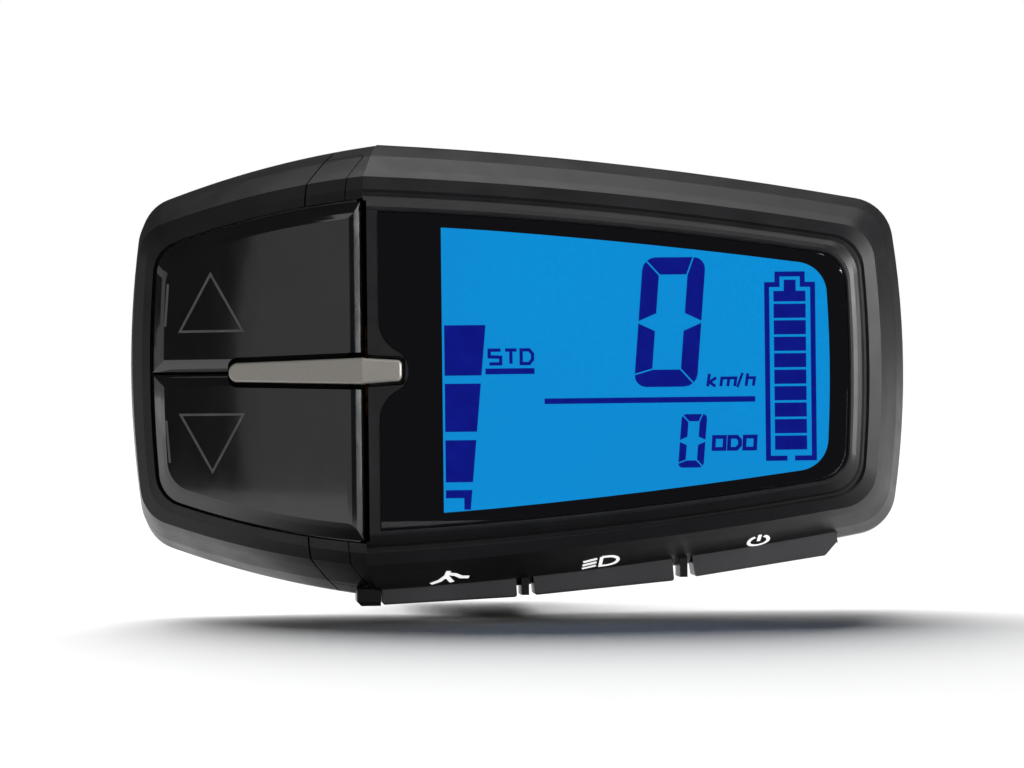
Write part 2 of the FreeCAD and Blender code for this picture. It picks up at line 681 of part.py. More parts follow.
SILICONE = ("up_dome", "down_dome")
ACTUATORS = ("up_actuator", "down_actuator")
TACTS = ("up_switch", "down_switch")
for sign, dome, actuator, tact in zip(("", "-"), SILICONE, ACTUATORS, TACTS):
    z = sign + "Sizes.press_z"
    low = z + " - Sizes.tact_side / 2"
    high = z + " + Sizes.tact_side / 2"
    for label, radius, front, back in (
            (dome, "Sizes.dome_radius", "Sizes.post_end", "Sizes.dome_end"),
            (actuator, "Sizes.actuator_radius", "Sizes.dome_end", "Sizes.actuator_end")):
        body = new_body(label, PANEL)
        sketch = sketch_at(body, label + "_circle", "XZ_Plane", f"-{front}")
        draw_circle(sketch, "Sizes.press_x", z, radius)
        pad(body, sketch, f"{back} - {front}")
    corners = box_corners("Sizes.press_x - Sizes.tact_side / 2",
                          "Sizes.press_x + Sizes.tact_side / 2", low, high)
    body = plate(tact, corners, "Sizes.tact_front",
                 "Sizes.switch_board_front - Sizes.tact_front", PANEL)
    bore = sketch_at(body, tact + "_bore", "XZ_Plane", "-Sizes.tact_front")
    draw_circle(bore, "Sizes.press_x", z, "Sizes.actuator_radius + Sizes.bore_gap")
    pocket(body, bore, "Sizes.bore_end - Sizes.tact_front")


def mirrored_rows(points):
    """Corners of a shape that is the same above and below z = 0, from its upper half."""
    lower = [(x, "-" + z) for x, z in reversed(points)]
    return [(str(x), str(z)) for x, z in points] + [(str(x), z) for x, z in lower]


panel_rows = mirrored_rows([("-3.4", "17.6"), ("-15", "15.6"), ("-23.2", "13.4"), ("-26", "9.5")])
passes = [("Sizes.press_x", "Sizes.press_z", "Sizes.pass_radius"),
          ("Sizes.press_x", "-Sizes.press_z", "Sizes.pass_radius")]
blade_slot = box_corners("-Sizes.blade_left - 0.3", "-Sizes.blade_right + 0.3",
                         "-Sizes.blade_half - 0.2", "Sizes.blade_half + 0.2")
plate("switch_keypad", panel_rows, "Sizes.keypad_front",
      "Sizes.carrier_front - Sizes.keypad_front", PANEL, passes, [blade_slot])
plate("switch_carrier", panel_rows, "Sizes.carrier_front", "Sizes.carrier_thick", PANEL, passes)
plate("switch_board", panel_rows, "Sizes.switch_board_front", "Sizes.switch_board_thick", PANEL)


def carrier_spacers():
    """Four spacers between the carrier and the switch board, as one group."""
    front = size("carrier_front") + size("carrier_thick")
    back = size("switch_board_front")
    spacers = []
    for number, (x, z) in enumerate(((-5.5, 9.0), (-5.5, -9.0), (-21.5, 8.5), (-21.5, -8.5))):
        spacer = doc.addObject("Part::Cylinder", f"spacer_{number}")
        spacer.Radius = 1.3
        spacer.Height = back - front
        spacer.Placement = Placement(Vector(x, front, z), Rotation(Vector(0, 0, 1), Vector(0, 1, 0)))
        spacers.append(spacer)
    group = doc.addObject("Part::Compound", "board_spacers")
    group.Links = spacers
    group.Placement = PANEL
    nodes.append(group)


carrier_spacers()


# ---- display board ---------------------------------------------------------------------------

board_rows = mirrored_rows([("2.4", "17.4"), ("30", "15.5"), ("53", "12.1"), ("56.6", "8.5")])
board_holes = [(str(x), str(z), "Sizes.board_screw_radius + 0.1") for x, z in BOARD_SCREWS]
plate("main_board", board_rows, "Sizes.board_front", "Sizes.board_thick", RIDGE, board_holes)

board_back = "Sizes.board_front + Sizes.board_thick"
plate("mcu_chip", box_corners("20", "29", "-4", "5"), board_back, "1.2", RIDGE)
plate("board_connector", box_corners("30", "38.5", "-11.8", "-6.8"), board_back, "4.4", RIDGE)


def board_parts():
    """Loose components on the back of the main board, as one group."""
    back = size("board_front") + size("board_thick")
    pieces = []
    for number, (x, z) in enumerate(((44.0, 5.2), (44.0, -3.4))):
        can = doc.addObject("Part::Cylinder", f"capacitor_{number}")
        can.Radius = 2.0
        can.Height = 5.4
        can.Placement = Placement(Vector(x, back, z), Rotation(Vector(0, 0, 1), Vector(0, 1, 0)))
        pieces.append(can)
    places = [(33.0, 4.0, 4.5, 1.4, 2.0), (33.0, 8.5, 2.0, 0.6, 1.2), (37.0, 8.5, 2.0, 0.6, 1.2),
              (33.5, 0.0, 2.0, 0.6, 1.2), (10.0, 2.5, 1.6, 0.5, 0.8), (10.0, -2.5, 1.6, 0.5, 0.8)]
    for number, (x, z, long, tall, wide) in enumerate(places):
        chip = doc.addObject("Part::Box", f"component_{number}")
        chip.Length = long
        chip.Width = tall
        chip.Height = wide
        chip.Placement = Placement(Vector(x, back, z), Rotation())
        pieces.append(chip)
    group = doc.addObject("Part::Compound", "board_parts")
    group.Links = pieces
    group.Placement = RIDGE
    nodes.append(group)


board_parts()


def flex_cable():
    """A flat cable from the switch board to the main board, bent at the ridge."""
    back = size("board_front") + size("board_thick")
    right = block(-1, 7.0, back, back + 0.15, -5, 5).common(beyond_ridge(1))
    left = block(-8.0, 1, back, back + 0.15, -5, 5).common(beyond_ridge(-1))
    add_shape("flex_cable", right.fuse(turned(left)))


flex_cable()


# ---- lower buttons ---------------------------------------------------------------------------

def edge_button(name):
    """A bar button with its retaining tabs and the post that presses its switch."""
    half = size(name + "_length") / 2
    deep = size("edge_half_depth")
    proud = size(name + "_proud")
    cap = block(-half, half, -deep, deep, -proud, 1.75)
    lower = [edge for edge in cap.Edges if edge.CenterOfMass.z < -proud + 0.01]
    cap = cap.makeFillet(0.3, lower)
    if name == "power":
        wedge = block(0, 6, -deep - 1, deep + 1, -8, 0)
        wedge.rotate(Vector(), Vector(0, 1, 0), 50)
        wedge.translate(Vector(half - 0.1, 0, -0.1))
        cap = cap.cut(wedge)
    tab_end = half + size("tab_out")
    tabs = block(-tab_end, tab_end, -0.6, 1.9, 1.75, 2.45)
    post = rod(1.3, (0, 0.5, 2.2), (0, 0.5, 4.6))
    return cap.fuse(tabs).fuse(post)


for name in EDGE_BUTTONS:
    place = RIDGE.multiply(edge_place(name))
    add_shape(name + "_button", edge_button(name), place)
    add_shape(name + "_actuator", rod(0.8, (0, 0.5, 4.6), (0, 0.5, 7.6)), place)
    switch = block(-2.3, 2.3, -0.8, 1.8, 6.0, 9.6)
    add_shape(name + "_switch", switch.cut(rod(0.95, (0, 0.5, 5.0), (0, 0.5, 8.2))), place)


# ---- clamp -----------------------------------------------------------------------------------

clamp_half = "Sizes.clamp_length / 2"


def clamp_half_body(label, outline):
    """Half of the clamp: an outline in the Y-Z plane, padded along the bar both ways."""
    body = new_body(label, Placement())
    sketch = sketch_at(body, label + "_outline", "YZ_Plane", f"-{clamp_half}")
    draw_polygon(sketch, outline)
    pad(body, sketch, "Sizes.clamp_length", back=False)
    bore = sketch_at(body, label + "_bore", "YZ_Plane", f"-{clamp_half}")
    draw_circle(bore, "0", "0", "Sizes.liner_radius")
    pocket(body, bore, "Sizes.clamp_length", along_normal=True)
    return body


back_y = "Sizes.lens_y + Sizes.housing_depth"
base_rows = [(back_y, "-18.6"), (f"{back_y} + 2.6", "-Sizes.ear_end"),
             ("-Sizes.split_half", "-Sizes.ear_end"), ("-Sizes.split_half", "Sizes.ear_end"),
             (f"{back_y} + 2.6", "Sizes.ear_end"), (back_y, "18.6")]
clamp_base = clamp_half_body("clamp_base", base_rows)
cap_rows = [("Sizes.split_half", "-Sizes.ear_end"), ("Sizes.ear_thick + 0.6", "-Sizes.ear_end"),
            ("Sizes.ear_thick + 0.6", "-14.0"), ("10.6", "-11.5"), ("14.2", "-6.8"),
            ("Sizes.clamp_radius", "-2.4"), ("Sizes.clamp_radius", "2.4"), ("14.2", "6.8"),
            ("10.6", "11.5"), ("Sizes.ear_thick + 0.6", "14.0"),
            ("Sizes.ear_thick + 0.6", "Sizes.ear_end"), ("Sizes.split_half", "Sizes.ear_end")]
clamp_cap = clamp_half_body("clamp_cap", cap_rows)
for body, depth in ((clamp_base, back_y), (clamp_cap, "0")):
    holes = sketch_at(body, body.Name + "_bolts", "XZ_Plane", f"-({depth})")
    for z in ("Sizes.ear_z", "-Sizes.ear_z"):
        draw_circle(holes, "0", z, "Sizes.clamp_hole_radius")
    pocket(body, holes, "20")


def hexagon(flats, thick):
    """A hexagonal prism along +y."""
    radius = flats / math.sqrt(3)
    angles = [math.radians(60 * k) for k in range(7)]
    corners = [Vector(radius * math.cos(angle), 0, radius * math.sin(angle)) for angle in angles]
    return Part.Face(Part.makePolygon(corners)).extrude(Vector(0, thick, 0))


def nut_recesses():
    """Hexagon pockets for the nuts in the base's front, and countersinks for its screws."""
    body = clamp_base
    sketch = sketch_at(body, "nut_recesses", "XZ_Plane", f"-({back_y})")
    radius = "(Sizes.nut_flats + 0.2) / sqrt(3)"
    for z in ("Sizes.ear_z", "-Sizes.ear_z"):
        rows = []
        for k in range(6):
            angle = 60 * k
            rows.append((f"{radius} * cos({angle} deg)", f"{z} + {radius} * sin({angle} deg)"))
        draw_polygon(sketch, rows)
    pocket(body, sketch, "Sizes.nut_thick + 0.2")
    holes = sketch_at(body, "bracket_holes", "XZ_Plane", f"-({back_y})")
    sinks = sketch_at(body, "bracket_sinks", "XZ_Plane", f"-({back_y} + 1.9)")
    for x in ("Sizes.bracket_screw_x", "-Sizes.bracket_screw_x"):
        draw_circle(holes, x, "0", "Sizes.bracket_hole_radius")
        draw_circle(sinks, x, "0", "Sizes.bracket_head_radius + 0.1")
    pocket(body, holes, "8")
    pocket(body, sinks, "8")


nut_recesses()


def clamp_liner():
    """A rubber sleeve inside the clamp, slit where the clamp is split."""
    half = size("clamp_length") / 2
    sleeve = rod(size("liner_radius"), (-half, 0, 0), (half, 0, 0))
    sleeve = sleeve.cut(rod(size("bar_radius"), (-half, 0, 0), (half, 0, 0)))
    sleeve = sleeve.cut(block(-half, half, -0.4, 0.4, 5, 20))
    add_shape("clamp_liner", sleeve, Placement())


clamp_liner()


def screw_shape(radius, head_radius, head_thick, length, socket):
    """A socket screw along +y: the thread from 0 to length, then the head."""
    screw = rod(radius, (0, 0, 0), (0, length, 0))
    head = rod(head_radius, (0, length, 0), (0, length + head_thick, 0))
    rim = [edge for edge in head.Edges if edge.Length > 1 and edge.CenterOfMass.y > length + 0.1
           and len(edge.Vertexes) == 1]
    head = head.makeFillet(head_thick * 0.15, rim)
    recess = hexagon(socket, head_thick)
    recess.translate(Vector(0, length + head_thick * 0.45, 0))
    return screw.fuse(head).cut(recess)


def add_group(label, shape, places, placement):
    """Copies of one shape, as separate solids of one node."""
    copies = []
    for place in places:
        copy = shape.copy()
        copy.translate(Vector(*place))
        copies.append(copy)
    item = doc.addObject("Part::Feature", label)
    item.Shape = Part.makeCompound(copies)
    item.Placement = placement
    nodes.append(item)


def fasteners():
    radius = size("case_screw_radius")
    head = size("case_head_radius")
    long = screw_shape(radius, head, size("case_head_thick"), 6.0, 2.0)
    copies = [(x, seat - 6.0, z) for x, z, seat, _ in CASE_SCREWS]
    add_group("case_screws", long, copies, RIDGE)
    short = screw_shape(size("board_screw_radius"), 1.5, 0.9, 4.0, 1.2)
    back = size("board_front") + size("board_thick")
    add_group("board_screws", short, [(x, back - 4.0, z) for x, z in BOARD_SCREWS], RIDGE)
    ear_back = size("ear_thick") + 0.6
    nut_y = size("lens_y") + size("housing_depth") + 0.15
    length = ear_back - nut_y
    bolt = screw_shape(size("clamp_bolt_radius"), 3.4, 3.6, length, 3.0)
    ears = (size("ear_z"), -size("ear_z"))
    add_group("clamp_bolts", bolt, [(0, nut_y, z) for z in ears], Placement())
    nut = hexagon(size("nut_flats"), size("nut_thick"))
    nut = nut.cut(rod(size("clamp_bolt_radius"), (0, -1, 0), (0, 9, 0)))
    add_group("clamp_nuts", nut, [(0, nut_y, z) for z in ears], Placement())
    bracket = screw_shape(1.5, size("bracket_head_radius"), 1.5, 4.8, 2.0)
    seat = size("lens_y") + size("housing_depth") + 1.9
    places = [(side * size("bracket_screw_x"), seat - 4.8, 0) for side in (1, -1)]
    add_group("bracket_screws", bracket, places, Placement())


fasteners()

inlet_point = Vector(size("inlet_x"), size("housing_depth"), size("inlet_z"))
grommet_place = RIDGE.multiply(Placement(inlet_point, Rotation(Vector(1, 0, 0), -90)))
turning("cable_grommet",
        [("Sizes.inlet_bore", "-2.9"), ("Sizes.inlet_inner", "-2.9"), ("Sizes.inlet_inner", "-1.7"),
         ("Sizes.inlet_neck", "-1.7"), ("Sizes.inlet_neck", "0"), ("Sizes.inlet_flange", "0"),
         ("Sizes.inlet_flange", "0.7"), ("Sizes.inlet_inner - 0.6", "1.4"),
         ("Sizes.inlet_bore", "1.4")], grommet_place)


# ---- checks and export -----------------------------------------------------------------------

doc.recompute()
for item in doc.Objects:
    if "Invalid" in item.State or "Error" in item.State:
        raise RuntimeError(f"{item.Name}: {item.State}")
os.makedirs("parts", exist_ok=True)
for node in nodes:
    shape = node.Shape
    if shape.isNull() or not shape.isValid():
        raise RuntimeError(f"{node.Label}: no valid shape")
for node in nodes:
    node.Shape.exportStep(f"parts/{node.Label}.step")
print(f"{len(nodes)} nodes written")
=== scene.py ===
"""Looks of the handlebar display: its finishes, display graphics, key symbols, studio and camera.

Lengths are millimetres until MM turns them into the frame's metres. Only the studio's floor and lamps
are placed in metres.
"""

import json
import math

import bmesh
import bpy
from mathutils import Matrix, Vector
from mathutils.bvhtree import BVHTree


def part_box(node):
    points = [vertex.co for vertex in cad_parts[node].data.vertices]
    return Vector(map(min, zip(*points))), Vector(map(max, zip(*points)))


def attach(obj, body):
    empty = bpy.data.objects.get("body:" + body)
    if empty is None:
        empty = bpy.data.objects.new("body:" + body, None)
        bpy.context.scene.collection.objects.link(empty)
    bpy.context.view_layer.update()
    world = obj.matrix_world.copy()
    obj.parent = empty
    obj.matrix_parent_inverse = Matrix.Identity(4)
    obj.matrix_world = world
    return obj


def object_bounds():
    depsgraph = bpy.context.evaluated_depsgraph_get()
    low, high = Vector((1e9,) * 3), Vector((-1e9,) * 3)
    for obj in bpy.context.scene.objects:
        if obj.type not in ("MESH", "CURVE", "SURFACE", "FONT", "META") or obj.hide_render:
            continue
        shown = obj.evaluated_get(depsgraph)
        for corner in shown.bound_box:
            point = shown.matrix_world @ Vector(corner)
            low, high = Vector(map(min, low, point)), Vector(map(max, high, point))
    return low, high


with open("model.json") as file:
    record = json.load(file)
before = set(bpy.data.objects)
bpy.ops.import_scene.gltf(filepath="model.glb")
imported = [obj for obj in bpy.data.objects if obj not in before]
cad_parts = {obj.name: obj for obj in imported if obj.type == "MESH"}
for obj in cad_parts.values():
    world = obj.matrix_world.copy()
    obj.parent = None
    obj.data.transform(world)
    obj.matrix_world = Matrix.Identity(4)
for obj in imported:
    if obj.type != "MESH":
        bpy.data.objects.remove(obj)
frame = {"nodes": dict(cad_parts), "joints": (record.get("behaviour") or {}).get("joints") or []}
cad_low, cad_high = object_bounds()

MM = 0.001
UP = Vector((0, 0, 1))

# ---------------------------------------------------------------- places taken from the frame

LENS_INSET = 1.8          # the lens starts this far to the right of the ridge between the two faces
JOINTS = {joint["name"]: joint for joint in frame["joints"]}
GLASS_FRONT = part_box("lcd_glass")[0].y / MM
RIDGE = Vector((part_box("display_lens")[0].x / MM - LENS_INSET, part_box("display_bezel")[0].y / MM, 0))
GLASS_DEPTH = GLASS_FRONT - RIDGE.y
PANEL_INWARD = Vector(JOINTS["up_press"]["axis"]).normalized()
PANEL_LEFT = Vector((-PANEL_INWARD.y, PANEL_INWARD.x, 0))


class Plane:
    """A flat surface to draw on: x runs across it, z up it and depth into the part, all from the ridge."""

    def __init__(self, across, inward):
        self.across = across
        self.inward = inward

    def place(self, x, z, depth):
        return (RIDGE + self.across * x + UP * z + self.inward * depth) * MM


DISPLAY = Plane(Vector((1, 0, 0)), Vector((0, 1, 0)))
PANEL = Plane(PANEL_LEFT, PANEL_INWARD)


# ---------------------------------------------------------------- node materials

class Finish:
    """A node material around one Principled shader."""

    def __init__(self, name, roughness=0.5, metallic=0.0, **fixed):
        self.material = bpy.data.materials.new(name)
        self.material.use_nodes = True
        self.tree = self.material.node_tree
        self.shader = self.tree.nodes["Principled BSDF"]
        self.set("Roughness", roughness)
        self.set("Metallic", metallic)
        for socket, value in fixed.items():
            self.set(socket.replace("_", " "), value)
        self.coordinates = self.node("ShaderNodeTexCoord").outputs["Object"]

    def set(self, socket, value):
        self.shader.inputs[socket].default_value = value

    def node(self, kind, **inputs):
        node = self.tree.nodes.new(kind)
        for socket, value in inputs.items():
            self.feed(node.inputs[socket.replace("_", " ")], value)
        return node

    def feed(self, socket, value):
        if isinstance(value, bpy.types.NodeSocket):
            self.tree.links.new(value, socket)
        else:
            socket.default_value = value

    def noise(self, pitch, detail=2.0, stretch=(1, 1, 1)):
        """Noise whose blotches are pitch millimetres across, drawn out along an axis by stretch."""
        scale = [1 / part for part in stretch]
        mapping = self.node("ShaderNodeMapping", Vector=self.coordinates, Scale=scale)
        noise = self.node("ShaderNodeTexNoise", Vector=mapping.outputs[0], Scale=1 / (pitch * MM),
                          Detail=detail)
        return noise.outputs["Fac"]

    def cells(self, pitch):
        """Rounded grains, pitch millimetres apart."""
        cells = self.node("ShaderNodeTexVoronoi", Vector=self.coordinates, Scale=1 / (pitch * MM))
        return cells.outputs["Distance"]

    def ramp(self, value, low, high, start=0.3, end=0.7):
        """A colour or number that goes from low to high as value goes from start to end."""
        if isinstance(low, (int, float)):
            spread = self.node("ShaderNodeMapRange", Value=value)
            numbers = {"From Min": start, "From Max": end, "To Min": low, "To Max": high}
            for socket, number in numbers.items():
                spread.inputs[socket].default_value = number
            return spread.outputs[0]
        ramp = self.node("ShaderNodeValToRGB", Fac=value)
        for stop, place, colour in zip(ramp.color_ramp.elements, (start, end), (low, high)):
            stop.position = place
            stop.color = (*colour, 1)
        return ramp.outputs["Color"]

    def blend(self, factor, first, second):
        """The colour first where factor is 0 and second where it is 1."""
        mix = self.node("ShaderNodeMix")
        mix.data_type = "RGBA"
        self.feed(mix.inputs[0], factor)
        for socket, colour in ((mix.inputs[6], first), (mix.inputs[7], second)):
            self.feed(socket, colour if isinstance(colour, bpy.types.NodeSocket) else (*colour, 1))
        return mix.outputs[2]

    def colour(self, value):
        self.feed(self.shader.inputs["Base Color"], value)
        return self

    def rough(self, value):
        self.feed(self.shader.inputs["Roughness"], value)
        return self

    def glow(self, value):
        self.feed(self.shader.inputs["Emission Color"], value)
        return self

    def bump(self, height, depth, before=None):
        """Relief depth millimetres deep, on top of an earlier bump if one is given."""
        bump = self.node("ShaderNodeBump", Height=height, Distance=depth * MM, Strength=1.0)
        if before is not None:
            self.feed(bump.inputs["Normal"], before)
        self.feed(self.shader.inputs["Normal"], bump.outputs[0])
        return bump.outputs[0]


def moulded(name, dark, light, rough, grain, relief, **fixed):
    """Moulded plastic or rubber: two close colours in soft patches over a fine spark-eroded grain."""
    finish = Finish(name, **fixed)
    patches = finish.noise(9.0, detail=4.0)
    finish.colour(finish.ramp(patches, dark, light))
    finish.rough(finish.ramp(finish.noise(3.0), rough - 0.04, rough + 0.05))
    fine = finish.bump(finish.noise(grain, detail=3.0), relief)
    finish.bump(finish.noise(6.0), relief, before=fine)
    return finish.material


def metal(name, dark, light, rough, stretch, **fixed):
    """Metal with fine tool marks drawn out along one axis."""
    finish = Finish(name, metallic=1.0, **fixed)
    marks = finish.noise(0.12, detail=4.0, stretch=stretch)
    finish.colour(finish.ramp(marks, dark, light))
    finish.rough(finish.ramp(marks, rough - 0.08, rough + 0.08))
    finish.bump(marks, 0.004)
    return finish.material


def shell_black():
    """Housing plastic: near black with a fine matt grain that shows grey under a lamp."""
    return moulded("shell_black_grain", (0.009, 0.009, 0.010), (0.014, 0.014, 0.0155),
                   rough=0.34, grain=0.22, relief=0.008, Specular_IOR_Level=0.3)


def key_gloss():
    """Polished black keys with faint wipe marks."""
    finish = Finish("key_gloss_polish", Coat_Weight=0.6, Coat_Roughness=0.03)
    finish.colour(finish.ramp(finish.noise(7.0, detail=3.0), (0.004, 0.004, 0.005), (0.007, 0.007, 0.008)))
    finish.rough(finish.ramp(finish.noise(1.6, detail=5.0, stretch=(1, 1, 4)), 0.04, 0.075))
    finish.bump(finish.noise(4.5), 0.004)
    return finish.material


def edge_key_black():
    """Satin black of the three lower keys, lighter than the housing; the extra lightness is painted light
    that stands in for the light the floor gives them.
    """
    return moulded("edge_key_satin_painted_light", (0.046, 0.046, 0.049), (0.062, 0.062, 0.066),
                   rough=0.36, grain=0.14, relief=0.004)


def bar_champagne():
    """Satin metallic paint on the divider bar."""
    finish = Finish("bar_satin_paint", metallic=0.55, Coat_Weight=0.15, Coat_Roughness=0.3)
    flakes = finish.cells(0.05)
    finish.colour(finish.ramp(flakes, (0.275, 0.26, 0.235), (0.37, 0.35, 0.32), start=0.1, end=0.7))
    finish.rough(finish.ramp(finish.noise(0.5, detail=3.0, stretch=(5, 1, 1)), 0.34, 0.46))
    finish.bump(finish.noise(0.15, detail=3.0, stretch=(6, 1, 1)), 0.003)
    return finish.material


def lens_clear():
    """Clear hard-coated acrylic, with a trace of waviness."""
    finish = Finish("lens_acrylic", roughness=0.0, Transmission_Weight=1.0, IOR=1.45,
                    Specular_IOR_Level=0.35)
    finish.colour(finish.ramp(finish.noise(20.0), (0.985, 0.99, 0.995), (1.0, 1.0, 1.0)))
    finish.bump(finish.noise(16.0, detail=1.0), 0.0015)
    return finish.material


def mask_black():
    """Black ink behind the lens, with a faint painted glow: an emission that stands in for the lamp light
    that does not reach the ink through the lens.
    """
    finish = Finish("mask_ink_painted_glow", Specular_IOR_Level=0.25, Emission_Color=(0.8, 0.75, 1.0, 1),
                    Emission_Strength=0.005)
    finish.colour(finish.ramp(finish.noise(8.0, detail=3.0), (0.020, 0.020, 0.026), (0.026, 0.026, 0.033)))
    finish.rough(finish.ramp(finish.noise(0.4), 0.45, 0.6))
    return finish.material


def lcd_blue():
    """Backlit liquid crystal: lit blue over a fine grain, with large soft clouds a little deeper."""
    finish = Finish("lcd_backlit", roughness=0.6, Specular_IOR_Level=0.0, Emission_Strength=1.04)
    grain = finish.ramp(finish.noise(0.3, detail=1.0), (0.0008, 0.262, 0.665), (0.0012, 0.285, 0.705))
    clouds = finish.ramp(finish.noise(26.0, detail=1.0), 0.0, 1.0)
    finish.colour((0.0, 0.004, 0.012, 1))
    finish.glow(finish.blend(clouds, (0.002, 0.258, 0.655), grain))
    return finish.material


def segment_blue():
    """Switched-on liquid crystal segments: deep blue, with a little backlight leaking through."""
    finish = Finish("lcd_segment", roughness=0.6, Specular_IOR_Level=0.0, Emission_Strength=1.0)
    finish.colour((0.0, 0.001, 0.01, 1))
    finish.glow(finish.ramp(finish.noise(2.0), (0.0010, 0.0045, 0.205), (0.0020, 0.0070, 0.245)))
    return finish.material


def print_white_painted_glow():
    """White pad-printed symbol ink, a little uneven, with a painted glow: an emission that keeps it bright
    though it is no lamp.
    """
    finish = Finish("symbol_ink", Specular_IOR_Level=0.3, Emission_Color=(1, 1, 1, 1), Emission_Strength=0.75)
    finish.colour(finish.ramp(finish.noise(0.5, detail=3.0), (0.74, 0.75, 0.76), (0.86, 0.86, 0.86)))
    finish.rough(finish.ramp(finish.noise(0.3), 0.45, 0.6))
    finish.bump(finish.noise(0.2, detail=3.0), 0.004)
    return finish.material


def symbol_grey():
    """Bare edge of the raised symbols on the gloss keys, dulled by thumbs."""
    finish = Finish("symbol_edge")
    finish.colour(finish.ramp(finish.noise(1.2, detail=3.0), (0.055, 0.057, 0.060), (0.085, 0.087, 0.090)))
    finish.rough(finish.ramp(finish.noise(0.4), 0.32, 0.48))
    finish.bump(finish.noise(0.3), 0.003)
    return finish.material


def board_green():
    """Solder mask over a grid of copper tracks."""
    finish = Finish("board_solder_mask", Coat_Weight=0.3, Coat_Roughness=0.15)
    tracks = finish.node("ShaderNodeTexBrick", Vector=finish.coordinates, Scale=1 / (4.0 * MM))
    tracks.inputs["Mortar Size"].default_value = 0.05
    for socket, colour in (("Color1", (0.006, 0.060, 0.022, 1)), ("Color2", (0.008, 0.070, 0.028, 1)),
                           ("Mortar", (0.020, 0.150, 0.060, 1))):
        tracks.inputs[socket].default_value = colour
    finish.colour(tracks.outputs["Color"])
    finish.rough(finish.ramp(finish.noise(1.0), 0.28, 0.42))
    finish.bump(tracks.outputs["Fac"], 0.03)
    return finish.material


def flex_amber():
    """Polyimide flex with copper lines along it."""
    finish = Finish("flex_polyimide", Coat_Weight=0.2)
    lines = finish.node("ShaderNodeTexWave", Vector=finish.coordinates, Scale=1 / (5.0 * MM))
    lines.bands_direction = "Z"
    finish.colour(finish.ramp(lines.outputs["Fac"], (0.32, 0.11, 0.02), (0.50, 0.22, 0.06)))
    finish.rough(finish.ramp(finish.noise(1.0), 0.3, 0.42))
    finish.bump(lines.outputs["Fac"], 0.02)
    return finish.material


def soft_rubber(name, dark, light, relief):
    return moulded(name, dark, light, rough=0.72, grain=0.35, relief=relief, Sheen_Weight=0.15,
                   Sheen_Roughness=0.5)


# moulded() takes dark, light, rough, grain and relief; metal() takes dark, light, rough and stretch
SLOT_FINISHES = {
    "shell_black": shell_black(),
    "key_gloss": key_gloss(),
    "edge_key_black": edge_key_black(),
    "bar_champagne": bar_champagne(),
    "lens_clear": lens_clear(),
    "mask_black": mask_black(),
    "lcd_blue": lcd_blue(),
    "guide_white": moulded("guide_milky", (0.72, 0.74, 0.76), (0.82, 0.83, 0.84), 0.35, 0.5, 0.004),
    "tray_white": moulded("tray_white_plastic", (0.60, 0.60, 0.58), (0.70, 0.70, 0.68), 0.45, 0.3, 0.006),
    "gasket_grey": soft_rubber("gasket_foam", (0.05, 0.05, 0.052), (0.08, 0.08, 0.083), 0.03),
    "zebra_rubber": soft_rubber("zebra_strip_rubber", (0.10, 0.03, 0.025), (0.16, 0.05, 0.04), 0.01),
    "silicone_black": soft_rubber("silicone_keypad", (0.012, 0.012, 0.013), (0.020, 0.020, 0.021), 0.008),
    "carrier_black": moulded("carrier_plastic", (0.018, 0.018, 0.019), (0.028, 0.028, 0.030), 0.5, 0.3, 0.01),
    "board_green": board_green(),
    "chip_black": moulded("chip_epoxy", (0.014, 0.014, 0.015), (0.022, 0.022, 0.023), 0.55, 0.12, 0.008),
    "connector_white": moulded("connector_nylon", (0.62, 0.60, 0.54), (0.72, 0.70, 0.64), 0.42, 0.3, 0.005),
    "component_metal": metal("component_tin", (0.46, 0.46, 0.47), (0.62, 0.62, 0.63), 0.32, (1, 1, 1)),
    "flex_amber": flex_amber(),
    "actuator_white": moulded("actuator_acetal", (0.66, 0.66, 0.64), (0.76, 0.76, 0.74), 0.38, 0.3, 0.004),
    "clamp_black": moulded("clamp_nylon", (0.013, 0.013, 0.014), (0.022, 0.022, 0.024), 0.5, 0.32, 0.014),
    "liner_rubber": soft_rubber("liner_grip_rubber", (0.018, 0.018, 0.018), (0.030, 0.030, 0.030), 0.03),
    "screw_black": metal("screw_black_oxide", (0.020, 0.020, 0.022), (0.045, 0.045, 0.048), 0.38, (1, 6, 1)),
    "screw_steel": metal("screw_stainless", (0.42, 0.42, 0.43), (0.60, 0.60, 0.61), 0.28, (1, 6, 1)),
}


def finish_frame():
    """Gives every node of the frame the finish of its material slot."""
    for node in frame["nodes"].values():
        for holder in node.material_slots:
            holder.material = SLOT_FINISHES[holder.material.name.split(".")[0]]


# ---------------------------------------------------------------- flat shapes

def arc(centre, radius, start, end, steps, stretch=1.0):
    """Points along an arc, its angles in degrees; stretch makes it wider than it is high."""
    angles = [math.radians(start + (end - start) * step / steps) for step in range(steps + 1)]
    return [(centre[0] + radius * stretch * math.cos(a), centre[1] + radius * math.sin(a)) for a in angles]


def rectangle(left, right, low, high):
    return [(left, low), (right, low), (right, high), (left, high)]


def offset_corner(before, corner, after, distance):
    """Where a corner goes when both its edges move distance to their left."""
    before, corner, after = Vector(before), Vector(corner), Vector(after)
    first = (corner - before).normalized()
    second = (after - corner).normalized()
    left = Vector((-first.y - second.y, first.x + second.x))
    spread = left.length_squared / 2
    return tuple(corner + left * (distance / spread))


def inset(outline, distance):
    """A closed outline drawn counterclockwise, made smaller all round by distance."""
    following = outline[1:] + outline[:1]
    return [offset_corner(outline[i - 1], corner, following[i], distance) for i, corner in enumerate(outline)]


